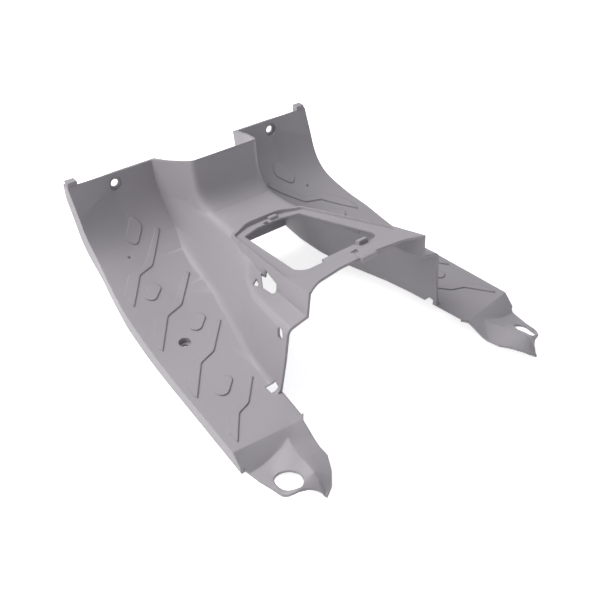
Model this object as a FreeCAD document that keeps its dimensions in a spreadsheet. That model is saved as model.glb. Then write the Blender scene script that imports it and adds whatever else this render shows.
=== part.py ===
import FreeCAD, Part
import math
import os
import Sketcher

os.makedirs("parts", exist_ok=True)
doc = FreeCAD.newDocument("ScooterFootboard")
Vector = FreeCAD.Vector

# Driving dimensions in millimetres and degrees.
# Stations are measured forward from the middle of the part's length, heights from the ground.
DIMENSIONS = {
    "wall": 2.6,
    # floor and front panel, seen from the side
    "floor_rise": 20.5,
    "panel_top": 134.0,
    "rim_top": 137.5,
    "panel_front": 217.0,
    "sweep_start": 40.0,
    "sweep_radius": 420.0,
    "slope_station": 122.0,
    "slope_rise": 31.0,
    "slope_radius": 240.0,
    "curl_station": 208.0,
    "curl_rise": 70.0,
    "curl_radius": 95.0,
    "rim_rise": 18.5,
    "rim_sweep_start": 14.0,
    "rim_slope_station": 132.0,
    "rim_slope_rise": 45.0,
    "rim_curl_station": 178.0,
    "rim_curl_rise": 65.0,
    "rim_curl_radius": 70.0,
    "rim_front": 213.0,
    "bowl_inner": 118.0,
    "bowl_outer": 205.0,
    # ramp from the floor down to the arms
    "ramp_top_outer": -146.0,
    "ramp_top_inner": -156.0,
    "ramp_foot_outer": -162.0,
    "ramp_foot_inner": -186.0,
    "ramp_drop_outer": 17.0,
    "ramp_drop_inner": 10.0,
    # plan outline, half widths and stations
    "front_half": 178.0,
    "waist_half": 175.5,
    "waist_station": 172.0,
    "flare_half": 187.5,
    "flare_station": 90.0,
    "heel_half": 201.0,
    "heel_station": -160.0,
    "outline_round": 160.0,
    "lip_depth": 18.5,
    "lip_reach": 12.5,
    # tunnel walls
    "tunnel_top": 96.0,
    "tunnel_back": -113.0,
    "stand_top": 155.0,
    "stand_middle_station": 160.0,
    "stand_side_bow": 5.5,
    "stand_front_top": 134.0,
    "tunnel_waist": 58.0,
    "cross_wall_station": 125.0,
    "cross_wall_foot": 31.0,
    # bridge that carries the cover
    "bridge_front": 66.0,
    "bridge_front_half": 52.5,
    "bridge_middle": -65.0,
    "bridge_middle_half": 76.5,
    "bridge_back_half": 80.0,
    "bridge_bulge": 13.0,
    "bridge_bulge_half": 26.0,
    "bridge_climb": 0.21,
    "bridge_corner": 8.0,
    "bridge_draft": 5.0,
    "rebate_depth": 3.0,
    "rebate_margin": 2.5,
    "rebate_back": -77.0,
    "opening_front": 56.0,
    "opening_front_half": 41.0,
    "opening_bulge": 8.0,
    "opening_back": -67.0,
    "opening_back_half": 58.0,
    "opening_corner": 14.0,
    "opening_step": 6.0,
    "opening_step_half": 23.0,
    "bar_middle": -96.0,
    "bar_middle_half": 26.0,
    "ledge_hole_floor": 86.0,
    "ledge_hole_top": 106.0,
    # arms
    "arm_front": -125.0,
    "arm_middle": -193.0,
    "arm_back": -234.0,
    "ridge_front_half": 136.0,
    "ridge_middle_half": 153.5,
    "ridge_back_half": 156.0,
    "ridge_front_rise": 16.0,
    "ridge_middle_rise": 16.5,
    "ridge_back_rise": 5.0,
    "plate_front_fall": 0.25,
    "plate_middle_fall": 0.28,
    "plate_back_fall": 0.02,
    "wing_front_fall": 0.32,
    "wing_middle_fall": 0.28,
    "wing_back_fall": 0.02,
    "arm_hole_length": 27.0,
    "arm_hole_width": 23.0,
    "arm_hole_half": 176.0,
    "arm_hole_station": -200.0,
    # screw seats
    "screw_bore": 10.0,
    "screw_half": 117.5,
    "screw_rise": 120.5,
    "seat_bore": 17.0,
    "seat_depth": 2.0,
    "floor_screw_half": 153.0,
    "floor_screw_station": 16.0,
    "floor_seat_bore": 14.0,
    "floor_seat_depth": 6.0,
    "floor_screw_bore": 6.0,
    "pin_bore": 3.0,
    "pin_half": 139.5,
    "pin_station": 160.0,
    # raised pattern of the floor
    "relief": 1.3,
    "oval_length": 29.0,
    "oval_width": 15.0,
    "oval_turn": 43.0,
    # moves the part so that the middle of its length is at the origin
    "frame_shift": 3.75,
}

# Raised bands: half width and station of the tip, then the size against the full pattern.
BANDS = [
    (85.0, 179.0, 0.93),
    (86.0, 111.5, 1.0),
    (100.5, 22.5, 0.93),
    (126.0, -76.0, 0.67),
]

# Raised ovals: half width and station of the middle.
OVALS = [(117.4, 184.8), (142.1, 103.5), (124.0, 36.0), (157.2, -67.2)]

# Tunnel sections: station, half width at the floor, at the waist and at the crown, rise and
# rounding of the crown, rise and width of the hollow at the floor, half width and rise of the
# inner end of the ledge.
TUNNEL_SECTIONS = [
    (148.0, 79.7, 62.3, 50.4, 0.0, 3.0, 21.4, 9.0, 20.0, 0.0),
    (119.0, 78.2, 61.8, 47.8, 0.0, 8.0, 11.8, 9.0, 20.0, 0.0),
    (92.0, 77.8, 61.6, 48.6, 0.0, 10.0, 5.4, 9.0, 20.0, 0.0),
    (60.0, 80.5, 65.3, 53.0, 0.0, 10.0, 1.7, 9.0, 20.0, 0.0),
    (30.0, 86.5, 72.1, 60.5, 0.0, 9.0, -0.6, 9.0, 30.0, 0.0),
    (10.0, 92.0, 79.8, 70.5, 0.0, 8.0, -0.9, 9.0, 40.0, 0.0),
    (-12.0, 98.5, 91.3, 86.0, 0.0, 7.0, -0.9, 9.0, 50.0, 0.0),
    (-40.0, 106.5, 101.7, 98.5, 0.5, 6.5, -0.9, 9.0, 60.0, 2.0),
    (-75.0, 113.0, 107.7, 104.0, 1.5, 6.0, -0.9, 8.0, 70.0, 6.0),
    (-150.0, 122.0, 115.0, 109.5, 5.0, 6.0, -0.9, 8.0, 78.0, 15.0),
]
TUNNEL_WORDS = ("station", "foot", "waist", "crown", "rise", "round", "sill", "flare", "ledge", "lift")

# Stand sections from its root in the tunnel's top upward: height, station of the rear face,
# half widths at the rear corner, at the middle and at the front, rounding of the rear corner.
STAND_SECTIONS = [
    (93.0, 113.0, 46.0, 53.4, 66.4, 17.5),
    (97.0, 119.5, 46.0, 53.1, 66.8, 16.0),
    (100.0, 126.5, 46.2, 53.0, 66.7, 14.0),
    (104.5, 133.0, 46.5, 52.8, 66.5, 11.5),
    (111.0, 139.0, 46.8, 52.6, 66.3, 9.7),
    (121.0, 143.6, 47.2, 52.3, 65.9, 8.0),
    (138.0, 146.6, 47.0, 51.9, 65.2, 6.0),
    (172.0, 149.0, 45.7, 51.1, 63.6, 4.5),
]
STAND_WORDS = ("height", "rear", "corner", "middle", "front", "round")

# Foot of the stand below the tunnel's top, at its middle and at its front: station, half widths at
# the floor, at the waist and at the top, rise and width of the hollow at the floor.
STAND_FOOT_SECTIONS = [
    (188.0, 68.5, 64.6, 61.0, 35.0, 4.0),
    (220.0, 68.0, 67.3, 66.5, 36.0, 0.4),
]
STAND_FOOT_WORDS = ("station", "floor", "waist", "top", "sill", "flare")
for number, section in enumerate(STAND_FOOT_SECTIONS, start=1):
    for word, item in zip(STAND_FOOT_WORDS, section):
        DIMENSIONS[f"stand_foot_{word}_{number}"] = item
for number, section in enumerate(TUNNEL_SECTIONS, start=1):
    for word, item in zip(TUNNEL_WORDS, section):
        DIMENSIONS[f"tunnel_{word}_{number}"] = item
for number, section in enumerate(STAND_SECTIONS, start=1):
    for word, item in zip(STAND_WORDS, section):
        DIMENSIONS[f"stand_{word}_{number}"] = item
for number, (half, station, scale) in enumerate(BANDS, start=1):
    DIMENSIONS[f"band_half_{number}"] = half
    DIMENSIONS[f"band_station_{number}"] = station
    DIMENSIONS[f"band_scale_{number}"] = scale
for number, (half, station) in enumerate(OVALS, start=1):
    DIMENSIONS[f"oval_half_{number}"] = half
    DIMENSIONS[f"oval_station_{number}"] = station

sheet = doc.addObject("Spreadsheet::Sheet", "Sizes")
for row, (alias, number) in enumerate(DIMENSIONS.items(), start=1):
    sheet.set(f"A{row}", alias.replace("_", " "))
    sheet.set(f"B{row}", str(number))
    sheet.setAlias(f"B{row}", alias)
doc.recompute()


class Size:
    """A number that keeps the sheet formula it comes from."""

    def __init__(self, value, text):
        self.value = value
        self.text = text

    def __add__(self, other):
        other = as_size(other)
        return Size(self.value + other.value, f"({self.text} + {other.text})")

    def __radd__(self, other):
        return as_size(other) + self

    def __sub__(self, other):
        other = as_size(other)
        return Size(self.value - other.value, f"({self.text} - {other.text})")

    def __rsub__(self, other):
        return as_size(other) - self

    def __mul__(self, other):
        other = as_size(other)
        return Size(self.value * other.value, f"({self.text} * {other.text})")

    def __rmul__(self, other):
        return as_size(other) * self

    def __truediv__(self, other):
        other = as_size(other)
        return Size(self.value / other.value, f"({self.text} / {other.text})")

    def __neg__(self):
        return Size(-self.value, f"(-{self.text})")


def as_size(item):
    return item if isinstance(item, Size) else Size(float(item), repr(float(item)))


def cell(alias):
    return Size(float(sheet.get(alias)), f"Sizes.{alias}")


def new_body(label):
    body = doc.addObject("PartDesign::Body", label)
    body.Label = label
    body.AllowCompound = True
    return body


def new_sketch(body, name, role, offset=None):
    plane = [item for item in body.Origin.OriginFeatures if item.Role == role][0]
    sketch = body.newObject("Sketcher::SketchObject", name)
    sketch.AttachmentSupport = [(plane, "")]
    sketch.MapMode = "FlatFace"
    if offset is not None:
        offset = as_size(offset)
        sketch.AttachmentOffset = FreeCAD.Placement(Vector(0, 0, offset.value), FreeCAD.Rotation())
        sketch.setExpression("AttachmentOffset.Base.z", offset.text)
    return sketch


def draw_polygon(sketch, corners, rounds=None):
    """Closed outline through the corners; rounds gives the radius at some of them."""
    corners = [(as_size(u), as_size(v)) for u, v in corners]
    count = len(corners)
    first = sketch.GeometryCount
    for index in range(count):
        start = corners[index]
        end = corners[(index + 1) % count]
        ends = [Vector(point[0].value, point[1].value, 0) for point in (start, end)]
        sketch.addGeometry(Part.LineSegment(*ends))
    for index in range(count):
        after = (index + 1) % count
        sketch.addConstraint(Sketcher.Constraint("Coincident", first + index, 2, first + after, 1))
    for index, (u, v) in enumerate(corners):
        for axis, size in (("X", u), ("Y", v)):
            rule = Sketcher.Constraint("Distance" + axis, -1, 1, first + index, 1, size.value)
            number = sketch.addConstraint(rule)
            name = f"{axis.lower()}{first + index}"
            sketch.renameConstraint(number, name)
            sketch.setExpression(f"Constraints.{name}", size.text)
    for index, radius in (rounds or {}).items():
        radius = as_size(radius)
        sketch.fillet(first + index, 1, radius.value, True, True)
        arcs = [i for i, item in enumerate(sketch.Geometry) if item.TypeId == "Part::GeomArcOfCircle"]
        number = sketch.addConstraint(Sketcher.Constraint("Radius", arcs[-1], radius.value))
        name = f"round{first + index}"
        sketch.renameConstraint(number, name)
        sketch.setExpression(f"Constraints.{name}", radius.text)
    return sketch


def both_sides(points):
    """The points of one side followed by their mirror images, as one closed loop."""
    return points + [(-as_size(u), v) for u, v in reversed(points)]


def soft_corner(before, corner, after, reach_before, reach_after, steps):
    """Points that round a corner by a parabola; the reaches are shares of its two sides."""
    before, corner, after = [[as_size(item) for item in point] for point in (before, corner, after)]
    start = [c + (b - c) * reach_before for b, c in zip(before, corner)]
    end = [c + (a - c) * reach_after for a, c in zip(after, corner)]
    points = []
    for step in range(steps + 1):
        part = step / steps
        shares = ((1 - part) ** 2, 2 * part * (1 - part), part ** 2)
        points.append(tuple(s * shares[0] + c * shares[1] + e * shares[2] for s, c, e in zip(start, corner, end)))
    return points


wall = cell("wall")


def finish_check(items):
    for item in items:
        if "Invalid" in item.State or "Error" in item.State:
            raise RuntimeError(f"{item.Name} failed: {item.State}")
        shape = getattr(item, "Shape", None)
        if shape is not None and item.TypeId.startswith(("PartDesign::Body", "Part::")):
            if shape.isNull() or not shape.isValid():
                raise RuntimeError(f"{item.Name} has no valid shape")


def pad(body, sketch, length, name, both=False):
    feature = body.newObject("PartDesign::Pad", name)
    feature.Profile = sketch
    length = as_size(length)
    feature.Length = length.value
    feature.setExpression("Length", length.text)
    feature.Midplane = both
    feature.Refine = False
    doc.recompute()
    return feature


def pocket(body, sketch, length, name, both=False, up=False):
    before = body.Shape.Volume
    feature = body.newObject("PartDesign::Pocket", name)
    feature.Profile = sketch
    length = as_size(length)
    feature.Length = length.value
    feature.setExpression("Length", length.text)
    feature.Midplane = both
    feature.Reversed = up
    feature.Refine = False
    doc.recompute()
    if not body.Shape.Volume < before - 1.0:
        raise RuntimeError(f"{name} cut nothing")
    return feature


def loft(body, sections, name, ruled=False):
    feature = body.newObject("PartDesign::AdditiveLoft", name)
    feature.Profile = sections[0]
    feature.Sections = sections[1:]
    feature.Ruled = ruled
    doc.recompute()
    return feature


def join(kind, name, items):
    feature = doc.addObject(kind, name)
    if kind == "Part::Cut":
        feature.Base, feature.Tool = items
    else:
        feature.Shapes = items
    feature.Label = name
    doc.recompute()
    return feature


# Ground: everything under the floor, the curled front panel and the ramps.
def ground_corners(at_rim, extra):
    if at_rim:
        rise, start = cell("rim_rise"), cell("rim_sweep_start")
        slope = (cell("rim_slope_station"), cell("rim_slope_rise"))
        curl = (cell("rim_curl_station"), cell("rim_curl_rise"))
        front = cell("rim_front")
        ramp_top, ramp_foot, drop = cell("ramp_top_outer"), cell("ramp_foot_outer"), cell("ramp_drop_outer")
    else:
        rise, start = cell("floor_rise"), cell("sweep_start")
        slope = (cell("slope_station"), cell("slope_rise"))
        curl = (cell("curl_station"), cell("curl_rise"))
        front = cell("panel_front")
        ramp_top, ramp_foot, drop = cell("ramp_top_inner"), cell("ramp_foot_inner"), cell("ramp_drop_inner")
    deep = as_size(-60)
    top = cell("rim_top" if at_rim else "panel_top") + extra
    run = (ramp_top - ramp_foot) / drop
    lean = (front - curl[0]) / (top - extra - curl[1])
    return [
        (ramp_top - run * (rise - deep), deep),
        (ramp_top, rise),
        (start, rise),
        slope,
        curl,
        (front + lean * extra, top),
        (as_size(340), top),
        (as_size(340), deep),
    ]


def ground_body(label, extra, forward, down):
    """Solid under the walking surface; extra raises its open top, forward and down move it as a whole."""
    body = new_body(label)
    outer, inner = cell("bowl_outer"), cell("bowl_inner")

    def profile(name, offset, at_rim):
        sketch = new_sketch(body, label + name, "YZ_Plane", offset)
        radius = cell("rim_curl_radius") if at_rim else cell("curl_radius")
        corners = [(y + forward, z - down) for y, z in ground_corners(at_rim, as_size(extra))]
        return draw_polygon(sketch, corners, {2: cell("sweep_radius"), 3: cell("slope_radius"), 4: radius})

    pad(body, profile("Middle", None, False), inner * 2, f"{label}MiddlePad", both=True)
    for name, side in (("Left", -1), ("Right", 1)):
        sections = [profile(name + "Bowl", inner * side, False), profile(name + "Rim", outer * side, True)]
        loft(body, sections, f"{label}{name}Loft", ruled=True)
    return body


ground = ground_body("Ground", 0, as_size(0), as_size(0))
ground_hollow = ground_body("GroundHollow", 80, wall, wall)
ground_below = ground_body("GroundBelow", 80, cell("lip_reach"), cell("lip_depth"))


# Tunnel: tapering walls, the stand at the front and the bridge over its rear half.
def tunnel_body(label, inset, open_ends):
    body = new_body(label)
    low = as_size(-20)
    top = cell("tunnel_top") - inset
    floor = cell("floor_rise")
    waist_top = cell("tunnel_waist")
    steps = 2 if open_ends.value else 3

    def wall_foot(foot, waist, sill, flare):
        """Points of the wall's lower end; outside, they run out level just under the floor."""
        if open_ends.value:
            return [(foot + (foot - waist) * ((floor - low) / (waist_top - floor)) - inset, low)]
        root = foot - (foot - waist) * (sill / (waist_top - floor))
        rise = floor + sill
        return [(root + flare, low)] + soft_corner(
            (root + flare, rise), (root, rise), (waist, waist_top), 1.0, flare / (waist_top - rise), 3)

    sections = []
    for number in range(1, len(TUNNEL_SECTIONS) + 1):
        station, foot, waist, crown, rise, rounding, sill, flare, ledge, lift = (
            cell(f"tunnel_{word}_{number}") for word in TUNNEL_WORDS)
        if number == 1:
            station = station + inset
        middle = (waist - inset, waist_top)
        edge = (crown - inset, top + rise)
        inner = (ledge - inset, top + lift)
        rounding = rounding - inset * 0.6
        sketch = new_sketch(body, f"{label}Section{number}", "XZ_Plane", -station)
        draw_polygon(sketch, both_sides(wall_foot(foot, waist, sill, flare) + [middle] + soft_corner(
            middle, edge, inner, rounding / (top - waist_top), rounding / (crown - ledge), steps) + [inner]))
        sections.append(sketch)
    loft(body, sections, f"{label}Walls", ruled=True)

    end = cell("stand_foot_station_2") + open_ends
    tunnel_end = [cell("tunnel_station_1") + inset] + [
        cell(f"tunnel_{word}_1") for word in ("foot", "waist", "crown", "sill", "flare")]
    feet = [tunnel_end]
    for number in (1, 2):
        feet.append([cell(f"stand_foot_{word}_{number}") for word in STAND_FOOT_WORDS])
    feet[-1][0] = end
    low_stand = []
    for number, (station, foot, waist, crown, sill, flare) in enumerate(feet, start=1):
        sketch = new_sketch(body, f"{label}StandFoot{number}", "XZ_Plane", -station)
        draw_polygon(sketch, both_sides(wall_foot(foot, waist, sill, flare) + [
            (waist - inset, waist_top), (crown - inset, cell("tunnel_top"))]))
        low_stand.append(sketch)
    loft(body, low_stand, f"{label}StandFootLoft", ruled=True)

    stand = []
    side_station, bow_station = cell("stand_middle_station"), cell("stand_foot_station_1")
    for number in range(1, len(STAND_SECTIONS) + 1):
        height, rear, corner, middle, front, rounding = (
            cell(f"stand_{word}_{number}") for word in STAND_WORDS)
        if number == 1:
            height = height - inset * 2
        if number == len(STAND_SECTIONS):
            height = height + inset * 2
        side = (middle - inset, side_station)
        edge = (corner - inset, rear + inset)
        rounding = rounding - inset * 0.6
        sketch = new_sketch(body, f"{label}Stand{number}", "XY_Plane", height)
        bow = (front - cell("stand_side_bow") - inset, bow_station)
        rear_side = soft_corner(
            side, edge, (-corner, rear + inset), rounding / (side_station - rear), rounding / (corner * 2), steps)
        draw_polygon(sketch, both_sides([(front - inset, end), bow, side] + rear_side))
        stand.append(sketch)
    loft(body, stand, f"{label}StandLoft", ruled=True)
    if open_ends.value == 0:
        sketch = new_sketch(body, f"{label}StandTop", "YZ_Plane")
        root, nose = cell("tunnel_station_1"), cell("stand_foot_station_2")
        fall = (cell("stand_top") - cell("stand_front_top")) / (nose - root)
        draw_polygon(sketch, [
            (root - 60, cell("stand_top") + fall * 60), (nose + 20, cell("stand_front_top") - fall * 20),
            (nose + 20, as_size(220)), (root - 60, as_size(220))])
        pocket(body, sketch, 300, f"{label}StandTopCut", both=True)

    side = cell("bridge_front")
    sketch = new_sketch(body, f"{label}BridgePlan", "XY_Plane", cell("tunnel_top") - 6)
    draw_polygon(sketch, both_sides([
        (cell("bridge_bulge_half") - inset, side + cell("bridge_bulge") - inset),
        (cell("bridge_front_half") - inset, side - inset),
        (cell("bridge_middle_half") + 2.5 - inset, cell("bridge_middle")),
        (cell("bridge_back_half") + 4.0 - inset, cell("tunnel_back")),
        (cell("bridge_back_half") + 4.0 - inset, cell("tunnel_back") - 40),
    ]), {0: 30, 1: cell("bridge_corner"), 2: 150, 7: 150, 8: cell("bridge_corner"), 9: 30})
    bridge = pad(body, sketch, 60, f"{label}Bridge")
    bridge.TaperAngle = -cell("bridge_draft").value
    bridge.setExpression("TaperAngle", "-Sizes.bridge_draft")
    doc.recompute()
    sketch = new_sketch(body, f"{label}BridgeSlope", "YZ_Plane")
    climb = cell("bridge_climb")
    far = as_size(240)
    draw_polygon(sketch, [
        (side - far, top + climb * far), (side, top), (side + 40, top), (side + 40, as_size(220)),
        (side - far, as_size(220))])
    pocket(body, sketch, 300, f"{label}SlopeCut", both=True)
    if open_ends.value == 0:
        sketch = new_sketch(body, f"{label}BackEdge", "YZ_Plane")
        back = cell("tunnel_back")
        draw_polygon(sketch, [(back, low - 10), (back, as_size(220)), (as_size(-260), as_size(220)),
                              (as_size(-260), low - 10)])
        pocket(body, sketch, 300, f"{label}BackCut", both=True)
    return body


tunnel = tunnel_body("Tunnel", as_size(0), as_size(0))
tunnel_hollow = tunnel_body("TunnelHollow", wall, as_size(40))


# Arms: a low roof with its ridge running outward towards the rear.
def arm_body(label, down):
    body = new_body(label)
    deep, outer, inner = as_size(-60), as_size(215), as_size(90)
    sections = []
    for name in ("front", "middle", "back"):
        station = cell(f"arm_{name}")
        if name == "back":
            station = station - 1
        ridge = cell(f"ridge_{name}_half")
        sketch = new_sketch(body, f"{label}{name.title()}", "XZ_Plane", -station)
        rise = cell(f"ridge_{name}_rise") - down
        plate, wing = cell(f"plate_{name}_fall"), cell(f"wing_{name}_fall")
        draw_polygon(sketch, both_sides([
            (outer, deep), (outer, rise - plate * (outer - ridge)),
            (ridge, rise), (inner, rise - wing * (ridge - inner))]))
        sections.append(sketch)
    loft(body, sections, f"{label}Loft", ruled=True)
    return body


arms = arm_body("Arms", as_size(0))
arms_hollow = arm_body("ArmsHollow", wall)


# Outline of an arm: steps inward and forward from the heel's corner.
ARM_OUTLINE = [
    (4.5, -0.5), (7.5, -18.0), (10.5, -52.0), (25.0, -56.0), (45.5, -73.0), (55.0, -69.0),
    (64.0, -58.0), (74.0, -40.0), (78.5, 3.0), (93.0, 20.0), (94.5, 36.0)]

# Plan outline of the moulding and, inside it, the outline of its underside between the lips.
outline = new_body("Outline")
sketch = new_sketch(outline, "OutlinePlan", "XY_Plane")
heel, heel_y = cell("heel_half"), cell("heel_station")
draw_polygon(sketch, both_sides([
    (cell("front_half"), cell("panel_front") + 8),
    (cell("waist_half"), cell("waist_station")),
    (cell("flare_half"), cell("flare_station")),
    (heel, heel_y),
] + [(heel - inward, heel_y + ahead) for inward, ahead in ARM_OUTLINE] + [
    (as_size(116), cell("tunnel_back")),
]), {1: cell("outline_round"), 2: cell("outline_round"), 6: 8, 8: 3, 9: 4, 10: 10, 13: 6, 14: 5,
     17: 5, 18: 6, 21: 10, 22: 4, 23: 3, 25: 8, 29: cell("outline_round"), 30: cell("outline_round")})
pad(outline, sketch, 320, "OutlinePad")

underside = new_body("Underside")
sketch = new_sketch(underside, "UndersidePlan", "XY_Plane", -90)
draw_polygon(sketch, both_sides([
    (cell("front_half") - wall, as_size(360)),
    (cell("waist_half") - wall, cell("waist_station")),
    (cell("flare_half") - wall, cell("flare_station")),
    (heel - wall, heel_y + 2.0),
    (heel + 30, heel_y + 2.0),
    (heel + 30, heel_y - 110.0),
]), {1: cell("outline_round"), 2: cell("outline_round"), 9: cell("outline_round"), 10: cell("outline_round")})
pad(underside, sketch, 420, "UndersidePad")

outside = join("Part::MultiFuse", "Outside", [ground, tunnel, arms])
block = join("Part::MultiCommon", "Block", [outside, outline])
hollow = join("Part::MultiFuse", "Hollow", [ground_hollow, tunnel_hollow, arms_hollow])
core = join("Part::MultiCommon", "Core", [hollow, underside])
shell = join("Part::Cut", "Shell", [block, core])
trimmed = join("Part::Cut", "Trimmed", [shell, ground_below])
finish_check(doc.Objects)


# Raised pattern: bands and ovals that stand a little above the floor and follow its curve.
# Each corner of a band is given inward and forward of its tip, for the full pattern.
BAND_SHAPE = [
    (0, 0), (-38, -42), (-61, -50), (-94.5, -94), (-96, -88), (-94, -70), (-74, -44.5), (-46, -37), (-5, 3)]
BAND_ROUNDS = {1: 12, 2: 8, 6: 12, 7: 8}


def turned(u, v, angle):
    """A length along and across a direction, as plan steps."""
    radians = math.radians(angle.value)
    cosine = Size(math.cos(radians), f"cos({angle.text})")
    sine = Size(math.sin(radians), f"sin({angle.text})")
    return u * cosine - v * sine, u * sine + v * cosine


pattern = new_body("Pattern")
sketch = new_sketch(pattern, "PatternBase", "XY_Plane", -90)
draw_polygon(sketch, [(-240, -260), (240, -260), (240, 260), (-240, 260)])
pad(pattern, sketch, 10, "PatternBasePad")
for number in range(1, len(BANDS) + 1):
    half, station = cell(f"band_half_{number}"), cell(f"band_station_{number}")
    scale = cell(f"band_scale_{number}")
    sketch = new_sketch(pattern, f"Band{number}", "XY_Plane", -85)
    rounds = {corner: radius * scale for corner, radius in BAND_ROUNDS.items()}
    for side in (1, -1):
        corners = [((half - u * scale) * side, station + v * scale) for u, v in BAND_SHAPE]
        draw_polygon(sketch, corners, rounds)
    pad(pattern, sketch, 240, f"BandPad{number}")
for number in range(1, len(OVALS) + 1):
    half, station = cell(f"oval_half_{number}"), cell(f"oval_station_{number}")
    length, width, turn = cell("oval_length") / 2, cell("oval_width") / 2, cell("oval_turn")
    sketch = new_sketch(pattern, f"Oval{number}", "XY_Plane", -85)
    for side in (1, -1):
        corners = []
        for u, v in ((length, width), (-length, width), (-length, -width), (length, -width)):
            along, across = turned(u, v, turn)
            corners.append(((half - along) * side, station + across))
        draw_polygon(sketch, corners, {corner: width * 0.95 for corner in range(4)})
    pad(pattern, sketch, 240, f"OvalPad{number}")

relief = cell("relief")
ground_raised = ground_body("GroundRaised", 0, as_size(0), -relief)
raised = join("Part::MultiCommon", "Raised", [pattern, ground_raised])
ground_core = ground_body("GroundCore", 80, wall / 2, wall / 2)
relief_sheet = join("Part::Cut", "ReliefSheet", [raised, ground_core])
moulding = join("Part::MultiFuse", "Moulding", [trimmed, relief_sheet])

# Fittings are added to the moulding and cuts are taken from it, each set in one step.
fittings = []
cuts = new_body("Cuts")
sketch = new_sketch(cuts, "CutsBase", "XY_Plane", -130)
draw_polygon(sketch, [(-10, -10), (10, -10), (10, 10), (-10, 10)])
pad(cuts, sketch, 10, "CutsBasePad")


def fitting(name):
    """Body for a piece that is added to the moulding."""
    fittings.append(new_body(name))
    return fittings[-1]


def cut(sketch, length, name, both=False, up=False):
    """Takes the sketch's outline out of the moulding, downward unless up is set."""
    feature = pad(cuts, sketch, length, name, both)
    feature.Reversed = not up and not both
    doc.recompute()


def slope_sketch(body, name, lift):
    """Sketch on the bridge's sloping top, a little above or below it; v runs forward from its front."""
    sketch = new_sketch(body, name, "XY_Plane")
    climb, front, top = cell("bridge_climb"), cell("bridge_front"), cell("tunnel_top") + lift
    tilt = FreeCAD.Rotation(Vector(-1, 0, 0), math.degrees(math.atan(climb.value)))
    sketch.AttachmentOffset = FreeCAD.Placement(Vector(0, front.value, top.value), tilt)
    sketch.setExpression("AttachmentOffset.Rotation.Angle", f"atan({climb.text})")
    sketch.setExpression("AttachmentOffset.Base.y", front.text)
    sketch.setExpression("AttachmentOffset.Base.z", top.text)
    return sketch


def on_slope(points):
    stretch = Size(math.sqrt(1 + cell("bridge_climb").value ** 2), "sqrt(1 + Sizes.bridge_climb ^ 2)")
    return [(as_size(u), (as_size(v) - cell("bridge_front")) * stretch) for u, v in points]


def side_half(station):
    """Half width of the bridge's top edge at a station ahead of its middle."""
    front, middle = cell("bridge_front"), cell("bridge_middle")
    part = (front - station) / (front - middle)
    return cell("bridge_front_half") + (cell("bridge_middle_half") - cell("bridge_front_half")) * part


front, margin = cell("bridge_front"), cell("rebate_margin")
bulge, bulge_half = cell("bridge_bulge"), cell("bridge_bulge_half")
corner, depth = cell("bridge_corner"), cell("rebate_depth")

seat_back = cell("opening_back") - 18
sketch = slope_sketch(fitting("Seat"), "SeatPlan", -0.4)
draw_polygon(sketch, on_slope(both_sides([
    (bulge_half - 1.2, front + bulge - 1.2),
    (cell("bridge_front_half") - 1.2, front - 1.2),
    (side_half(cell("opening_back")) - 1.5, cell("opening_back")),
    (side_half(cell("opening_back")) - 1.5, seat_back),
])), {0: 30, 1: corner, 6: corner, 7: 30})
seat = pad(fittings[-1], sketch, depth + wall - 0.4, "SeatPad")
seat.Reversed = True
doc.recompute()

sketch = slope_sketch(cuts, "RebatePlan", 8)
draw_polygon(sketch, on_slope(both_sides([
    (bulge_half - margin, front + bulge - margin),
    (cell("bridge_front_half") - margin, front - margin),
    (side_half(cell("rebate_back")) - margin, cell("rebate_back")),
])), {0: 30, 1: corner, 2: 12, 3: 12, 4: corner, 5: 30})
cut(sketch, depth + 8, "Rebate")

sketch = slope_sketch(cuts, "OpeningPlan", 8)
opening_front, opening_back = cell("opening_front"), cell("opening_back")
draw_polygon(sketch, on_slope(both_sides([
    (18, opening_front + cell("opening_bulge")),
    (cell("opening_front_half"), opening_front),
    (cell("opening_back_half"), opening_back),
    (cell("opening_step_half") + 1.5, opening_back),
    (cell("opening_step_half"), opening_back + cell("opening_step")),
])), {0: 20, 1: 4, 2: cell("opening_corner"), 7: cell("opening_corner"), 8: 4, 9: 20})
cut(sketch, depth + wall + 12, "Opening")

sketch = slope_sketch(cuts, "BarPlan", 4)
back = cell("tunnel_back")
draw_polygon(sketch, on_slope(both_sides([
    (cell("bar_middle_half"), cell("bar_middle")),
    (60, back + 11.5),
    (72, back + 5),
    (cell("bridge_back_half") - 1, back),
    (cell("bridge_back_half") - 1, back - 30),
])), {0: 20, 1: 30, 2: 6, 7: 6, 8: 30, 9: 20})
cut(sketch, 12, "BarEdge")

# Cross wall inside the tunnel, ahead of the cover opening.
sketch = new_sketch(fitting("CrossWall"), "CrossWallShape", "XZ_Plane", -cell("cross_wall_station"))
draw_polygon(sketch, both_sides([
    (72.5, cell("cross_wall_foot")), (46.5, cell("tunnel_top") - 4), (44, cell("tunnel_top") - 1)]))
pad(fittings[-1], sketch, wall, "CrossWallPad")

# Holes in the ledge beside the bridge, in the walls below it and in the arms.
sketch = new_sketch(cuts, "LedgeHoles", "XY_Plane", cell("ledge_hole_top"))
for side in (1, -1):
    draw_polygon(sketch, [(as_size(u) * side, v) for u, v in (
        (69.5, -18), (66, -30), (63, -43), (80, -56.5), (83, -55), (83.5, -40.5))])
    draw_polygon(sketch, [(as_size(u) * side, v) for u, v in (
        (78.5, -21.5), (81, -29), (86, -34), (88, -28.5))])
cut(sketch, cell("ledge_hole_top") - cell("ledge_hole_floor"), "LedgeHolesCut")

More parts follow.
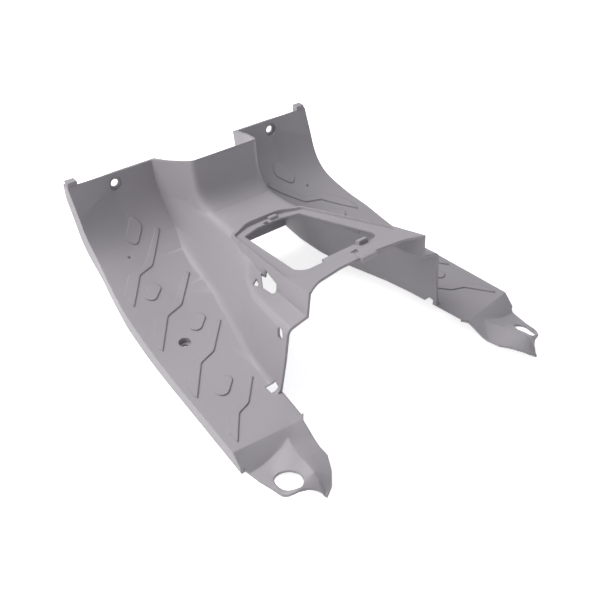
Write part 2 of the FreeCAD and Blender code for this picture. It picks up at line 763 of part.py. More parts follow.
sketch = new_sketch(cuts, "WallHoles", "YZ_Plane")
draw_polygon(sketch, [(-105.5, 80), (-97, 80), (-95.5, 93), (-104, 94)], {0: 4, 1: 4, 2: 4, 3: 4})
draw_polygon(sketch, [(-88, 5), (-100.6, 3), (-106, 11), (-108, 25), (-101, 27)])
cut(sketch, 2 * 125, "WallHolesCut", both=True)

sketch = new_sketch(cuts, "ArmHoles", "XY_Plane", 40)
for side in (1, -1):
    half, station = cell("arm_hole_half") * side, cell("arm_hole_station")
    length, width = cell("arm_hole_length") / 2, cell("arm_hole_width") / 2
    draw_polygon(sketch, [(half + width, station + length), (half - width, station + length),
                          (half - width, station - length), (half + width, station - length)],
                 {0: 11, 1: 11, 2: 11, 3: 11})
cut(sketch, 60, "ArmHolesCut")


def draw_circles(sketch, centres, diameter):
    """Circles of one diameter about the given centres."""
    for u, v in centres:
        u, v = as_size(u), as_size(v)
        ring = sketch.addGeometry(Part.Circle(Vector(u.value, v.value, 0), Vector(0, 0, 1), diameter.value / 2))
        for kind, size in (("DistanceX", u), ("DistanceY", v)):
            rule = sketch.addConstraint(Sketcher.Constraint(kind, -1, 1, ring, 3, size.value))
            sketch.renameConstraint(rule, f"{kind}{ring}")
            sketch.setExpression(f"Constraints.{kind}{ring}", size.text)
        rule = sketch.addConstraint(Sketcher.Constraint("Diameter", ring, diameter.value))
        sketch.renameConstraint(rule, f"bore{ring}")
        sketch.setExpression(f"Constraints.bore{ring}", diameter.text)


# Front screws: a boss behind the panel, a flat seat for the head and the bore.
screws = [(cell("screw_half") * side, cell("screw_rise")) for side in (1, -1)]
seat_station = cell("panel_front") - 2.0 + cell("seat_depth")
sketch = new_sketch(fitting("ScrewBosses"), "ScrewBossPlan", "XZ_Plane", -seat_station - wall)
draw_circles(sketch, screws, cell("seat_bore") + 2 * wall)
pad(fittings[-1], sketch, wall + 0.5, "ScrewBossesPad")
sketch = new_sketch(cuts, "ScrewSeats", "XZ_Plane", -seat_station)
draw_circles(sketch, screws, cell("seat_bore"))
cut(sketch, 30, "ScrewSeatsCut", up=True)
sketch = new_sketch(cuts, "ScrewBores", "XZ_Plane", -seat_station + 10)
draw_circles(sketch, screws, cell("screw_bore"))
cut(sketch, 40, "ScrewBoresCut")

# Floor screws: a cup that hangs from the floor, its seat and the bore.
cups = [(cell("floor_screw_half") * side, cell("floor_screw_station")) for side in (1, -1)]
seat_rise = cell("floor_rise") - cell("floor_seat_depth")
sketch = new_sketch(fitting("FloorCups"), "FloorCupPlan", "XY_Plane", seat_rise - wall)
draw_circles(sketch, cups, cell("floor_seat_bore") + 2 * wall)
pad(fittings[-1], sketch, cell("floor_seat_depth") + wall / 2, "FloorCupsPad")
sketch = new_sketch(cuts, "FloorSeats", "XY_Plane", cell("floor_rise") + 10)
draw_circles(sketch, cups, cell("floor_seat_bore"))
cut(sketch, cell("floor_seat_depth") + 10, "FloorSeatsCut")
sketch = new_sketch(cuts, "FloorBores", "XY_Plane", cell("floor_rise"))
draw_circles(sketch, cups, cell("floor_screw_bore"))
cut(sketch, 40, "FloorBoresCut")

# Lugs ahead of the panel's upper corners.
sketch = new_sketch(fitting("Lugs"), "LugShape", "XZ_Plane", -cell("panel_front") + 2)
rim_top = cell("rim_top")
lug_corners = ((164.5, -6), (176, -6), (176, 3), (164.5, 3))
for side in (1, -1):
    draw_polygon(sketch, [(as_size(u) * side, rim_top + v) for u, v in lug_corners])
lugs = pad(fittings[-1], sketch, 10, "LugsPad")
lugs.Reversed = True
doc.recompute()

sketch = new_sketch(cuts, "PinHoles", "XY_Plane", 80)
draw_circles(sketch, [(cell("pin_half") * side, cell("pin_station")) for side in (1, -1)], cell("pin_bore"))
cut(sketch, 60, "PinHolesCut")

fitted = join("Part::MultiFuse", "Fitted", [moulding] + fittings)
footboard = join("Part::Cut", "Footboard", [fitted, cuts])
footboard.Label = "footboard"
footboard.Placement = FreeCAD.Placement(Vector(0, cell("frame_shift").value, 0), FreeCAD.Rotation())
footboard.setExpression("Placement.Base.y", cell("frame_shift").text)
doc.recompute()
finish_check(doc.Objects)
if len(footboard.Shape.Solids) != 1:
    raise RuntimeError("the moulding is not one solid")
footboard.Shape.Solids[0].exportStep(f"parts/{footboard.Label}.step")
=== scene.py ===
import logging
import math
from dataclasses import dataclass
from enum import Enum

import bmesh
import bpy
import numpy as np
from mathutils import Matrix, Vector


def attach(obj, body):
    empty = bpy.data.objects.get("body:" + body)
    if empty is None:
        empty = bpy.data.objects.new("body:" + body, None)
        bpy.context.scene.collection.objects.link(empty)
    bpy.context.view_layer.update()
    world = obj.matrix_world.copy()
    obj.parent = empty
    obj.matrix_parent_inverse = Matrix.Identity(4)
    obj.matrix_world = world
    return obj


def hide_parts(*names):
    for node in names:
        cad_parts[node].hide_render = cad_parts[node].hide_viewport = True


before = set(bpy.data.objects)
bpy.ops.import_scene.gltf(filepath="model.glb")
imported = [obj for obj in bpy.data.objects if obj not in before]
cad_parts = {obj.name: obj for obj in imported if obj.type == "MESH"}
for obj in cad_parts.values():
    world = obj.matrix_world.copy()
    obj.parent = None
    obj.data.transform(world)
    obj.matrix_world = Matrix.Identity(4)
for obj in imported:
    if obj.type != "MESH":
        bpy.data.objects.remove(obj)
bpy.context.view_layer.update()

log = logging.getLogger("footboard")

MM = 0.001
IMAGE_SIDE_PX = 600
SENSOR_MM = 36.0


def linear(hex_colour: str) -> tuple[float, float, float, float]:
    """Turn an sRGB hex colour into linear values.

    Args:
        hex_colour: Six hex digits, with or without a leading hash.

    Returns:
        Red, green, blue and an alpha of 1.
    """
    digits = hex_colour.lstrip("#")
    shares = [int(digits[i:i + 2], 16) / 255 for i in (0, 2, 4)]
    red, green, blue = (v / 12.92 if v <= 0.04045 else ((v + 0.055) / 1.055) ** 2.4
                        for v in shares)
    return red, green, blue, 1.0


def add_node(tree: bpy.types.NodeTree, kind: str, inputs: dict | None = None,
             **settings) -> bpy.types.Node:
    """Add a node with its settings, values and links.

    Args:
        tree: The node tree that gets the node.
        kind: The node's type name.
        inputs: Values or output sockets, by input name or number.
        **settings: Properties of the node itself.

    Returns:
        The new node.
    """
    node = tree.nodes.new(kind)
    for name, value in settings.items():
        setattr(node, name, value)
    for name, value in (inputs or {}).items():
        socket = node.inputs[name]
        if isinstance(value, bpy.types.NodeSocket):
            tree.links.new(value, socket)
        else:
            socket.default_value = value
    return node


class Side(Enum):
    """The two sides of the moulding, by the sign of their stations across it."""

    LEFT = -1
    RIGHT = 1


class LightLevel(Enum):
    """How much each kind of studio light gives."""

    OVERHEAD_W = 34.0
    LEFT_W = 12.0
    RIGHT_W = 4.0
    SKY_SHARE = 0.34


def new_object(name: str, mesh: bpy.types.Mesh, finish: bpy.types.Material) -> bpy.types.Object:
    """Put a mesh into the scene as a piece with one finish.

    Args:
        name: The piece's name.
        mesh: Its mesh.
        finish: The material for every face.

    Returns:
        The new object.
    """
    mesh.materials.clear()
    mesh.materials.append(finish)
    piece = bpy.data.objects.new(name, mesh)
    bpy.context.scene.collection.objects.link(piece)
    return piece


def prism(name: str, first: list[Vector], second: list[Vector]) -> bpy.types.Mesh:
    """Join two outlines of as many corners into a closed mesh.

    Args:
        name: The mesh's name.
        first: The corners of one end, in order, in metres.
        second: The corners of the other end, in the same order.

    Returns:
        The closed mesh.
    """
    body = bmesh.new()
    rings = [[body.verts.new(corner) for corner in corners] for corners in (first, second)]
    body.faces.new(rings[0])
    body.faces.new(list(reversed(rings[1])))
    for index in range(len(first)):
        after = (index + 1) % len(first)
        body.faces.new((rings[0][after], rings[0][index], rings[1][index], rings[1][after]))
    bmesh.ops.recalc_face_normals(body, faces=body.faces)
    mesh = bpy.data.meshes.new(name)
    body.to_mesh(mesh)
    body.free()
    return mesh


@dataclass(frozen=True)
class MouldedPolypropylene:
    """Injection-moulded polypropylene in a light grey with a lilac tinge.

    The mould's spark-eroded face leaves a very fine grain, so highlights are broad and soft. The colour
    is even, with faint clouding from the melt's flow. Edges look softly rounded, as they leave a mould.
    """

    name: str = "polypropylene_moulded_light_grey"
    colour: str = "#ACA9AF"
    cloud_colour: str = "#A5A1A5"
    roughness: float = 0.46
    ior: float = 1.49
    grain_mm: float = 0.9
    grain_height_mm: float = 0.035
    grain_strength: float = 0.35
    gloss_below: float = 0.05
    gloss_above: float = 0.06
    cloud_mm: float = 90.0
    edge_mm: float = 2.2

    def build(self) -> bpy.types.Material:
        """Make the node material.

        Returns:
            The finished material.
        """
        material = bpy.data.materials.new(self.name)
        material.use_nodes = True
        tree = material.node_tree
        tree.nodes.clear()
        place = add_node(tree, "ShaderNodeTexCoord").outputs["Object"]
        clouds = add_node(tree, "ShaderNodeTexNoise", {
            "Vector": place, "Scale": 1 / (self.cloud_mm * MM), "Detail": 3.0, "Roughness": 0.55})
        tone = add_node(tree, "ShaderNodeMix", {
            "Factor": clouds.outputs["Fac"], 6: linear(self.colour),
            7: linear(self.cloud_colour)}, data_type="RGBA")
        rounding = add_node(tree, "ShaderNodeBevel", {"Radius": self.edge_mm * MM}, samples=4)
        grain = add_node(tree, "ShaderNodeTexNoise", {
            "Vector": place, "Scale": 1 / (self.grain_mm * MM), "Detail": 2.0, "Roughness": 0.6})
        bump = add_node(tree, "ShaderNodeBump", {
            "Strength": self.grain_strength, "Distance": self.grain_height_mm * MM,
            "Height": grain.outputs["Fac"], "Normal": rounding.outputs["Normal"]})
        gloss = add_node(tree, "ShaderNodeMapRange", {
            "Value": clouds.outputs["Fac"], "To Min": self.roughness - self.gloss_below,
            "To Max": self.roughness + self.gloss_above})
        shader = add_node(tree, "ShaderNodeBsdfPrincipled", {
            "Base Color": tone.outputs[2], "Roughness": gloss.outputs["Result"], "IOR": self.ior,
            "Normal": bump.outputs["Normal"]})
        add_node(tree, "ShaderNodeOutputMaterial", {"Surface": shader.outputs["BSDF"]})
        return material


@dataclass(frozen=True)
class StudioFloorPaint:
    """Matt white floor that reads as plain white to the camera and keeps the part's soft shadow."""

    name: str = "studio_floor_matt_white"
    colour: str = "#F4F4F5"
    glow: float = 0.75

    def build(self) -> bpy.types.Material:
        """Make the node material.

        Returns:
            The finished material.
        """
        material = bpy.data.materials.new(self.name)
        material.use_nodes = True
        tree = material.node_tree
        tree.nodes.clear()
        rays = add_node(tree, "ShaderNodeLightPath")
        matt = add_node(tree, "ShaderNodeBsdfDiffuse", {"Color": linear(self.colour)})
        glow = add_node(tree, "ShaderNodeEmission", {
            "Color": (1.0, 1.0, 1.0, 1.0), "Strength": self.glow})
        seen = add_node(tree, "ShaderNodeMath", {
            0: rays.outputs["Is Camera Ray"], 1: rays.outputs["Is Glossy Ray"]}, operation="MAXIMUM")
        either = add_node(tree, "ShaderNodeMath", {
            0: seen.outputs[0], 1: rays.outputs["Is Transmission Ray"]}, operation="MAXIMUM")
        both = add_node(tree, "ShaderNodeAddShader", {0: matt.outputs[0], 1: glow.outputs[0]})
        mixed = add_node(tree, "ShaderNodeMixShader", {
            "Fac": either.outputs[0], 1: matt.outputs[0], 2: both.outputs[0]})
        add_node(tree, "ShaderNodeOutputMaterial", {"Surface": mixed.outputs[0]})
        return material


@dataclass(frozen=True)
class OvalHole:
    """Oval opening in an arm's plate, as seen from above, in millimetres.

    Its long axis runs nearly along the part and turns outward towards the front.
    """

    middle: tuple[float, float] = (173.9, -195.4)
    half_width: float = 9.6
    half_length: float = 15.6
    turn_deg: float = -18.7
    corners: int = 48

    def outline(self) -> list[tuple[float, float]]:
        """Give the corners of the opening in order.

        Returns:
            Distances from the middle plane and stations along the part.
        """
        turn = math.radians(self.turn_deg)
        points = []
        for index in range(self.corners):
            angle = math.tau * index / self.corners
            across, along = self.half_width * math.cos(angle), self.half_length * math.sin(angle)
            points.append((self.middle[0] + across * math.cos(turn) - along * math.sin(turn),
                           self.middle[1] + across * math.sin(turn) + along * math.cos(turn)))
        return points


@dataclass(frozen=True)
class ArmSection:
    """Cross section of the solid's arm: a ridge with a plate outside it and a wing inside it.

    Falls are heights lost per millimetre away from the ridge, out to the section's two ends.
    """

    station: float
    ridge: float
    rise: float
    plate_fall: float
    wing_fall: float
    outer: float = 215.0
    inner: float = 90.0

    def heights(self) -> tuple[float, float, float, float]:
        """Give the numbers that blend from one section to the next.

        Returns:
            The ridge's place and the heights of the ridge, the outer end and the inner end.
        """
        return (self.ridge, self.rise, self.rise - self.plate_fall * (self.outer - self.ridge),
                self.rise - self.wing_fall * (self.ridge - self.inner))


@dataclass
class LiftField:
    """Smooth field of vertical steps through scattered points, in millimetres.

    Each point holds its distance from the middle plane, its station along the part and its step.
    """

    points: list[tuple[float, float, float]]
    softness: float = 1e-6

    def __post_init__(self) -> None:
        """Solve for the weight of each point."""
        self.places = np.array([p[:2] for p in self.points])
        steps = np.array([p[2] for p in self.points])
        gaps = np.linalg.norm(self.places[:, None] - self.places[None], axis=2)
        self.weights = np.linalg.solve(gaps + self.softness * np.eye(len(gaps)), steps)

    def at(self, half: float, station: float) -> float:
        """Give the step at a point.

        Args:
            half: Distance from the middle plane.
            station: Station along the part.

        Returns:
            The vertical step.
        """
        return float(np.linalg.norm(self.places - (half, station), axis=1) @ self.weights)


@dataclass
class ArmForm:
    """The arms' measured form: a climbing ridge, a tilted plate with an oval hole and a steep wing.

    All values are in millimetres, and both arms have the same form.

    Attributes:
        ridge: Points of the crease: distance from the middle plane, station and height of the top face.
        outer_edge: Points of the plate's outer edge, in the same way.
        inner_edge: Points of the wing's inner edge.
        rear_edge: Points of the plate's rear edge.
        hole_rim: Points round the oval hole.
        rear_outline: Corners of the plate's edge as seen from above, from the heel to the arm's end.
        beyond_outline: Corners that close the strip which the outline leaves out.
        cutter_heights: Lower and upper end of the shapes that are taken out.
        hole: The oval hole.
        solid_hole_middle: Middle of the solid's own hole, which is closed first.
        solid_hole_reach: How far that hole reaches across and along.
        bore_slant: Faces whose normal rises less than this belong to the hole's bore.
        solid_sections: The solid's arm sections, from front to back.
        start: Station where the moulding begins to differ from the solid.
        free_station: Station behind which there is nothing but the arm.
        last_station: Station where the fine division ends.
        inner_half: Distance from the middle plane inside which nothing moves.
        grid_halves: First and last distance from the middle plane of the fine division.
        anchors: Distances from the middle plane at which the step is nothing at the start.
        top_height: Height below which faces are divided.
        ease_mm: Length over which the steps come in behind the start.
        ramp_rise: Height above the arm at which the rear ramp no longer moves with it.
        step_mm: Size of the fine division.
    """

    ridge: tuple = (
        (135.5, -147.9, 10.9), (148.6, -169.2, 12.8), (150.6, -184.1, 16.5), (152.7, -195.2, 19.2),
        (155.6, -209.4, 19.6), (156.0, -217.5, 15.0), (156.0, -222.5, 9.0))
    outer_edge: tuple = (
        (196.0, -160.0, 1.5), (193.1, -171.9, 1.5), (190.7, -184.7, 2.7), (188.5, -197.3, 4.3),
        (186.9, -203.1, 4.5), (183.8, -206.4, 5.5))
    inner_edge: tuple = (
        (123.1, -153.6, 11.3), (124.6, -174.1, 8.3), (127.3, -187.2, 10.5), (130.6, -200.8, 12.0),
        (133.9, -209.3, 12.0), (140.9, -219.3, 10.4), (149.3, -227.2, 6.1), (154.6, -225.4, 3.0))
    rear_edge: tuple = ((176.1, -211.8, 11.5), (167.3, -214.6, 10.0), (159.9, -220.2, 8.0))
    hole_rim: tuple = (
        (165.0, -192.0, 11.0), (183.0, -198.0, 4.2), (169.0, -210.5, 12.0), (178.5, -180.0, 2.8))
    rear_outline: tuple = (
        (194.0, -174.0), (191.9, -180.0), (190.7, -184.7), (189.4, -190.8), (188.5, -197.3),
        (186.9, -203.1), (183.8, -206.9), (180.0, -210.2), (176.1, -212.4), (171.5, -213.6),
        (167.3, -214.9), (163.5, -217.4), (159.9, -220.4), (156.5, -224.6), (154.5, -229.5))
    beyond_outline: tuple = ((154.5, -245.0), (225.0, -245.0), (225.0, -174.0))
    cutter_heights: tuple[float, float] = (-8.0, 44.0)
    hole: OvalHole = OvalHole()
    solid_hole_middle: tuple[float, float] = (176.0, -196.25)
    solid_hole_reach: tuple[float, float] = (12.2, 14.2)
    bore_slant: float = 0.6
    solid_sections: tuple = (
        ArmSection(-121.25, 136.0, 16.0, 0.25, 0.32), ArmSection(-189.25, 153.5, 16.5, 0.28, 0.28),
        ArmSection(-231.25, 156.0, 5.0, 0.02, 0.02))
    start: float = -138.0
    free_station: float = -174.0
    last_station: float = -230.0
    inner_half: float = 110.0
    grid_halves: tuple[float, float] = (116.0, 200.0)
    anchors: tuple = (100.0, 120.0, 140.0, 160.0, 180.0, 200.0, 215.0)
    top_height: float = 24.0
    ease_mm: float = 30.0
    ramp_rise: float = 20.0
    step_mm: float = 4.0

    def solid_height(self, half: float, station: float) -> float:
        """Height of the solid's arm at a point, by its own sections.

        Args:
            half: Distance from the middle plane.
            station: Station along the part.

        Returns:
            The height of the arm's top face, in millimetres.
        """
        front, middle, back = self.solid_sections
        first, second = (front, middle) if station > middle.station else (middle, back)
        share = min(1.0, max(0.0, (first.station - station) / (first.station - second.station)))
        ridge, rise, outer, inner = (a + (b - a) * share for a, b in zip(first.heights(), second.heights()))
        if half > ridge:
            return rise + (outer - rise) * (half - ridge) / (first.outer - ridge)
        return rise + (inner - rise) * (ridge - half) / (ridge - first.inner)

    def lift(self) -> LiftField:
        """Work out how far each point of an arm is from its true height.

        Returns:
            The field of vertical steps.
        """
        measured = self.ridge + self.outer_edge + self.inner_edge + self.rear_edge + self.hole_rim
        points = [(half, station, height - self.solid_height(half, station))
                  for half, station, height in measured]
        points += [(half, self.start, 0.0) for half in self.anchors]
        return LiftField(points)

    def divide(self, mesh: bmesh.types.BMesh, place: Vector, normal: Vector) -> None:
        """Divide the arms' faces along a plane.

        Args:
            mesh: The moulding's mesh, in metres.
            place: A point of the plane.
            normal: The plane's normal.
        """
        verts = [v for v in mesh.verts if v.co.y < self.start * MM and v.co.z < self.top_height * MM]
        faces = list(dict.fromkeys(f for v in verts for f in v.link_faces))
        edges = list(dict.fromkeys(e for f in faces for e in f.edges))
        corners = list(dict.fromkeys(v for f in faces for v in f.verts))
        bmesh.ops.bisect_plane(mesh, geom=corners + edges + faces, plane_co=place, plane_no=normal,
                               dist=1e-6)

    def reshape(self, mesh: bmesh.types.BMesh) -> None:
        """Close the arms' holes, divide the arms' faces finely and move them to their true height.

        The foot of each rear ramp moves with its arm, less and less towards the ramp's top.

        Args:
            mesh: The moulding's mesh, in metres.
        """
        self.close_holes(mesh)
        station = self.start
        while station > self.last_station:
            self.divide(mesh, Vector((0, station * MM, 0)), Vector((0, 1, 0)))
            station -= self.step_mm
        for side in Side:
            half, last_half = self.grid_halves
            while half < last_half:
                self.divide(mesh, Vector((side.value * half * MM, 0, 0)), Vector((1, 0, 0)))
                half += self.step_mm
        field = self.lift()
        for vert in mesh.verts:
            half, station, height = abs(vert.co.x) / MM, vert.co.y / MM, vert.co.z / MM
            if station < self.start and half > self.inner_half:
                gap = height - self.solid_height(half, station)
                on_ramp = min(1.0, max(0.0, 1.0 - gap / self.ramp_rise))
                share = 1.0 if station < self.free_station else on_ramp
                ease = min(1.0, (self.start - station) / self.ease_mm)
                vert.co.z = max(0.0, vert.co.z + field.at(half, station) * ease * share * MM)

    def close_holes(self, mesh: bmesh.types.BMesh) -> None:
        """Close the solid's own arm holes, so that they can be cut again in the reshaped arms.

        Args:
            mesh: The moulding's mesh, in metres.
        """
        middle, reach = self.solid_hole_middle, self.solid_hole_reach

        def on_bore(vert: bmesh.types.BMVert) -> bool:
            return (abs(abs(vert.co.x) / MM - middle[0]) < reach[0]
                    and abs(vert.co.y / MM - middle[1]) < reach[1])

        bore = [f for f in mesh.faces
                if all(on_bore(v) for v in f.verts) and abs(f.normal.z) < self.bore_slant]
        log.info("arm holes: %d bore faces taken out", len(bore))
        bmesh.ops.delete(mesh, geom=bore, context="FACES")
        rims = [e for e in mesh.edges if e.is_boundary and all(on_bore(v) for v in e.verts)]
        bmesh.ops.holes_fill(mesh, edges=rims, sides=0)

    def cutters(self) -> list[bpy.types.Mesh]:
        """Shape what the arms lose: the oval hole and the strip beyond the outline.

        Returns:
            The closed meshes to take out, for both sides.
        """
        outlines = {"arm_hole": self.hole.outline(), "arm_strip": self.rear_outline + self.beyond_outline}
        meshes = []
        for side in Side:
            for name, outline in outlines.items():
                ends = [[Vector((half * side.value, station, height)) * MM for half, station in outline]
                        for height in self.cutter_heights]
                meshes.append(prism(f"{name}_{side.name.lower()}", *ends))
        return meshes


@dataclass(frozen=True)
class BridgeSlope:
    """The bridge's sloping top, on which the cover's fittings sit."""

    front_station: float = 69.75
    front_height: float = 96.0
    climb: float = 0.21

    def point(self, half: float, station: float, lift: float) -> Vector:
        """Give a point of the slope in the frame of the part.

        Args:
            half: Station across the part.
            station: Station along the part.
            lift: Height above the slope.

        Returns:
            The point, in metres.
        """
        slope = self.front_height + self.climb * (self.front_station - station)
        return Vector((half, station, slope + lift)) * MM


@dataclass(frozen=True)
class Fitting:
    """One form on the bridge's slope with the same profile all the way across.

    The profile holds stations along the part and heights above the slope, in millimetres.
    """

    name: str
    start: float
    end: float
    profile: tuple

    def mesh(self, slope: BridgeSlope) -> bpy.types.Mesh:
        """Shape the closed mesh.

        Args:
            slope: The slope that the form follows.

        Returns:
            The mesh.
        """
        ends = [[slope.point(half, *item) for item in self.profile] for half in (self.start, self.end)]
        return prism(self.name, *ends)


CATCH = Fitting("cover_catch", 0.0, 21.0, (
    (-83.5, 0.2), (-86.0, 2.0), (-96.8, 1.6), (-98.6, 0.2), (-98.6, -4.2), (-96.5, -5.2), (-95.0, -4.0),
    (-95.0, -2.0), (-83.5, -1.5)))
TONGUE = Fitting("cover_catch_tongue", 24.0, 36.4, (
    (-66.6, 2.4), (-60.4, 1.6), (-59.4, 0.0), (-60.4, -3.4), (-64.0, -5.6), (-66.6, -4.6)))
CLIP = Fitting("cover_clip", 5.6, 16.8, (
    (69.6, 0.5), (73.5, 0.8), (76.2, 0.2), (77.2, -3.0), (69.6, -5.0), (68.8, -2.0)))
CATCH_SLOT = Fitting("catch_slot", 3.5, 11.5, ((-80.8, 4.0), (-75.2, 4.0), (-75.2, -9.0), (-80.8, -9.0)))
CLIP_SLOT = Fitting("clip_slot", -5.0, 1.8, ((65.8, 4.0), (70.8, 4.0), (70.8, -9.0), (65.8, -9.0)))


@dataclass
class CoverFittings:
    """The catch on the bar, its tongue in the opening and the spring clip on the front edge."""

    slope: BridgeSlope = BridgeSlope()
    bevel_mm: float = 0.7
    bevel_segments: int = 3

    def slots(self) -> list[bpy.types.Mesh]:
        """Shape the holes that the fittings need in the moulding.

        Returns:
            The closed meshes to take out of it.
        """
        return [slot.mesh(self.slope) for slot in (CATCH_SLOT, CLIP_SLOT)]

    def build(self, finish: bpy.types.Material) -> list[bpy.types.Object]:
        """Build the catch, its tongue and the clip.

        Args:
            finish: The moulding's own material.

        Returns:
            The pieces.
        """
        pieces = []
        for fitting in (CATCH, TONGUE, CLIP):
            piece = new_object(fitting.name, fitting.mesh(self.slope), finish)
            edges = piece.modifiers.new("rounded_edges", "BEVEL")
            edges.width = self.bevel_mm * MM
            edges.segments = self.bevel_segments
            edges.limit_method = "ANGLE"
            pieces.append(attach(piece, "root"))
        return pieces


@dataclass
class Moulding:
    """The one-piece footboard: the solid's own mesh with its arms at their true height and its finish.

    Attributes:
        node: The solid's node, which this piece replaces.
        smooth_angle_deg: Faces that meet at less than this are shaded as one.
        arm_angle_deg: The same on the arms.
        arm_station: Station in millimetres behind which the arms' angle counts.
        weld_mm: Corners that lie closer than this become one.
        blank_hole_low: Lowest corner of the box round the right wall's cable hole, in millimetres.
        blank_hole_high: Highest corner of that box.
        rim_slant: Faces whose normal points across less than this belong to the hole's rim.
    """

    node: str = "footboard"
    smooth_angle_deg: float = 32.0
    arm_angle_deg: float = 15.0
    arm_station: float = -172.0
    weld_mm: float = 0.002
    blank_hole_low: tuple[float, float, float] = (100.0, -103.5, 78.0)
    blank_hole_high: tuple[float, float, float] = (130.0, -90.5, 96.0)
    rim_slant: float = 0.5

    def smoothing_group(self) -> bpy.types.NodeTree:
        """Make the geometry nodes that shade faces smooth where they meet at a small angle.

        The arms have crisp ridges, so the angle is smaller behind their root.

        Returns:
            The node group.
        """
        group = bpy.data.node_groups.new("smooth_by_angle", "GeometryNodeTree")
        group.interface.new_socket("Geometry", in_out="INPUT", socket_type="NodeSocketGeometry")
        group.interface.new_socket("Geometry", in_out="OUTPUT", socket_type="NodeSocketGeometry")
        start = add_node(group, "NodeGroupInput")
        angle = add_node(group, "GeometryNodeInputMeshEdgeAngle")
        place = add_node(group, "ShaderNodeSeparateXYZ", {
            0: add_node(group, "GeometryNodeInputPosition").outputs[0]})
        on_arm = add_node(group, "FunctionNodeCompare", {
            0: place.outputs["Y"], 1: self.arm_station * MM}, data_type="FLOAT", operation="LESS_THAN")
        limit = add_node(group, "GeometryNodeSwitch", {
            "Switch": on_arm.outputs[0], "False": math.radians(self.smooth_angle_deg),
            "True": math.radians(self.arm_angle_deg)}, input_type="FLOAT")
        soft = add_node(group, "FunctionNodeCompare", {
            0: angle.outputs["Unsigned Angle"], 1: limit.outputs[0]},
            data_type="FLOAT", operation="LESS_THAN")
        faces = add_node(group, "GeometryNodeSetShadeSmooth", {
            "Geometry": start.outputs[0], "Shade Smooth": True}, domain="FACE")
        edges = add_node(group, "GeometryNodeSetShadeSmooth", {
            "Geometry": faces.outputs[0], "Shade Smooth": soft.outputs[0]}, domain="EDGE")
        add_node(group, "NodeGroupOutput", {0: edges.outputs[0]})
        return group

    def close_blank_hole(self, mesh: bmesh.types.BMesh) -> None:
        """Close the cable hole of the right wall, which only the left wall has.

        Args:
            mesh: The moulding's mesh, in metres.
        """
        low, high = Vector(self.blank_hole_low) * MM, Vector(self.blank_hole_high) * MM

        def inside(vert: bmesh.types.BMVert) -> bool:
            return all(low[i] < vert.co[i] < high[i] for i in range(3))

        rim = [f for f in mesh.faces
               if all(inside(v) for v in f.verts) and abs(f.normal.x) < self.rim_slant]
        log.info("blank hole: %d rim faces closed", len(rim))
        if rim:
            bmesh.ops.delete(mesh, geom=rim, context="FACES")
            open_edges = [e for e in mesh.edges if e.is_boundary and all(inside(v) for v in e.verts)]
            bmesh.ops.holes_fill(mesh, edges=open_edges, sides=0)

    def take_out(self, board: bpy.types.Object, shapes: list[bpy.types.Mesh]) -> None:
        """Cut closed shapes out of the moulding.

        Args:
            board: The moulding's object.
            shapes: The closed meshes to take out of it.
        """
        cutters = []
        for shape in shapes:
            cutter = bpy.data.objects.new(shape.name, shape)
            bpy.context.scene.collection.objects.link(cutter)
            cut = board.modifiers.new(shape.name, "BOOLEAN")
            cut.operation = "DIFFERENCE"
            cut.solver = "EXACT"
            cut.object = cutter
            cutters.append(cutter)
        seen = board.evaluated_get(bpy.context.evaluated_depsgraph_get())
        shaped = bpy.data.meshes.new_from_object(seen)
        board.modifiers.clear()
        board.data = shaped
        for cutter in cutters:
            bpy.data.objects.remove(cutter)

    def build(self, finish: bpy.types.Material, slots: list[bpy.types.Mesh]) -> bpy.types.Object:
        """Build the moulding's visible shape.

        Args:
            finish: The material for every face.
            slots: Closed meshes to take out of it.

        Returns:
            The moulding's object.
        """
        arms = ArmForm()
        body = bmesh.new()
        body.from_mesh(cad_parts[self.node].data)
        bmesh.ops.remove_doubles(body, verts=body.verts, dist=self.weld_mm * MM)
        self.close_blank_hole(body)
        arms.reshape(body)
        bmesh.ops.triangulate(body, faces=[f for f in body.faces if len(f.verts) > 4])
        mesh = bpy.data.meshes.new("footboard_moulding")
        body.to_mesh(mesh)
        body.free()
        board = new_object("footboard_moulding", mesh, finish)
        self.take_out(board, slots + arms.cutters())
        smooth = board.modifiers.new("smooth_by_angle", "NODES")
        smooth.node_group = self.smoothing_group()
        normals = board.modifiers.new("face_weighted_normals", "WEIGHTED_NORMAL")
        normals.keep_sharp = True
        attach(board, "root")
        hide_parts(self.node)
        return board


@dataclass(frozen=True)
class SoftLamp:
    """A square lamp: its place and side in metres, its light and its sRGB hex colour."""

    name: str
    place: tuple[float, float, float]
    side_m: float
    level: LightLevel
    colour: str


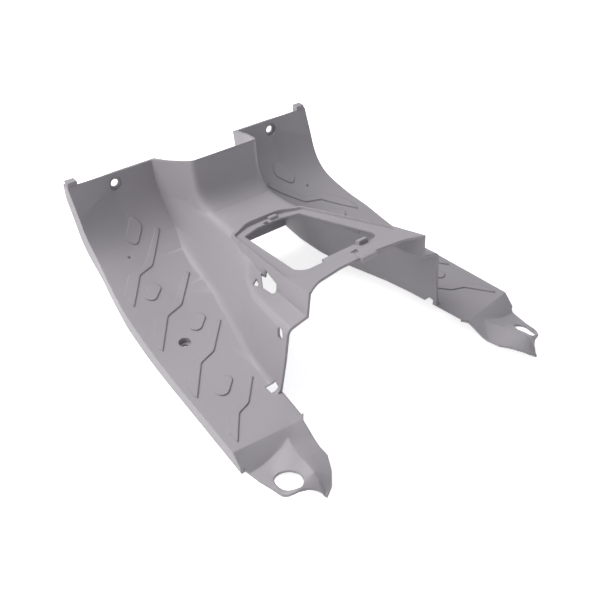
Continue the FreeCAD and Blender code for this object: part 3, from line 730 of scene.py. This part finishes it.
@dataclass
class Studio:
    """Plain pale floor, soft lamps and white surroundings."""

    floor_half_m: float = 6.0
    aim: tuple[float, float, float] = (0.0, 0.0, 0.06)
    sky_colour: str = "#F2F3F8"
    lamps: tuple = (
        SoftLamp("overhead_lamp", (-0.7, 0.9, 1.9), 1.5, LightLevel.OVERHEAD_W, "#FFFEFC"),
        SoftLamp("left_lamp", (-2.0, 0.3, 1.1), 1.2, LightLevel.LEFT_W, "#FFFDFB"),
        SoftLamp("right_lamp", (1.9, -0.2, 1.3), 1.4, LightLevel.RIGHT_W, "#FBFAFF"))

    def floor(self, finish: bpy.types.Material) -> bpy.types.Object:
        """Lay the floor under the part.

        Args:
            finish: The floor's material.

        Returns:
            The floor's object.
        """
        half = self.floor_half_m
        mesh = bpy.data.meshes.new("studio_floor")
        corners = [(-half, -half, 0), (half, -half, 0), (half, half, 0), (-half, half, 0)]
        mesh.from_pydata(corners, [], [(0, 1, 2, 3)])
        mesh.materials.append(finish)
        plane = bpy.data.objects.new("studio_floor", mesh)
        bpy.context.scene.collection.objects.link(plane)
        return plane

    def lamp(self, lamp: SoftLamp) -> None:
        """Add a square soft lamp that faces the part.

        Args:
            lamp: The lamp's place, size and light.
        """
        data = bpy.data.lights.new(lamp.name, "AREA")
        data.shape = "SQUARE"
        data.size = lamp.side_m
        data.energy = lamp.level.value
        data.color = linear(lamp.colour)[:3]
        item = bpy.data.objects.new(lamp.name, data)
        place, aim = Vector(lamp.place), Vector(self.aim)
        item.location = place
        item.rotation_euler = (aim - place).to_track_quat("-Z", "Y").to_euler()
        bpy.context.scene.collection.objects.link(item)

    def surround(self) -> None:
        """Make the surroundings white to the camera and a plain grey light to the part."""
        world = bpy.data.worlds.new("studio_surround")
        world.use_nodes = True
        tree = world.node_tree
        tree.nodes.clear()
        rays = add_node(tree, "ShaderNodeLightPath")
        seen = add_node(tree, "ShaderNodeMath", {
            0: rays.outputs["Is Camera Ray"], 1: rays.outputs["Is Transmission Ray"]}, operation="MAXIMUM")
        lit = add_node(tree, "ShaderNodeBackground", {
            "Color": linear(self.sky_colour), "Strength": LightLevel.SKY_SHARE.value})
        white = add_node(tree, "ShaderNodeBackground", {"Color": (1.0, 1.0, 1.0, 1.0), "Strength": 1.0})
        mixed = add_node(tree, "ShaderNodeMixShader", {
            "Fac": seen.outputs[0], 1: lit.outputs[0], 2: white.outputs[0]})
        add_node(tree, "ShaderNodeOutputWorld", {"Surface": mixed.outputs[0]})
        bpy.context.scene.world = world

    def build(self) -> None:
        """Set up the surroundings, the floor and the lamps."""
        self.surround()
        self.floor(StudioFloorPaint().build())
        for lamp in self.lamps:
            self.lamp(lamp)


@dataclass
class PhotoCamera:
    """Camera that repeats the photograph's view: behind, to the left of and above the part."""

    place_mm: tuple[float, float, float] = (-448.566, -557.007, 584.336)
    right: tuple[float, float, float] = (0.78201, -0.62327, 0.0)
    up: tuple[float, float, float] = (0.38733, 0.48598, 0.78345)
    focal_px: float = 760.0
    nearest_m: float = 0.02

    def build(self) -> bpy.types.Object:
        """Place the camera and make it the scene's own.

        Returns:
            The camera's object.
        """
        data = bpy.data.cameras.new("photo_camera")
        data.sensor_width = SENSOR_MM
        data.lens = self.focal_px / IMAGE_SIDE_PX * SENSOR_MM
        data.clip_start = self.nearest_m
        camera = bpy.data.objects.new("photo_camera", data)
        right = Vector(self.right).normalized()
        up = Vector(self.up).normalized()
        turn = Matrix((right, up, right.cross(up))).transposed()
        camera.matrix_world = Matrix.Translation(Vector(self.place_mm) * MM) @ turn.to_4x4()
        bpy.context.scene.collection.objects.link(camera)
        bpy.context.scene.camera = camera
        return camera


def main() -> None:
    """Build the footboard's looks, the studio and the camera."""
    logging.basicConfig(level=logging.INFO, format="%(name)s: %(message)s")
    bpy.context.scene.view_settings.view_transform = "Standard"
    finish = MouldedPolypropylene().build()
    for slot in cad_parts["footboard"].material_slots:
        slot.material = finish
    fittings = CoverFittings()
    board = Moulding().build(finish, fittings.slots())
    log.info("moulding %s built with %d faces", board.name, len(board.data.polygons))
    for piece in fittings.build(finish):
        log.info("fitting %s built", piece.name)
    Studio().build()
    log.info("studio built")
    camera = PhotoCamera().build()
    log.info("camera at %s", tuple(round(v, 3) for v in camera.location))


if __name__ == "__main__":
    main()
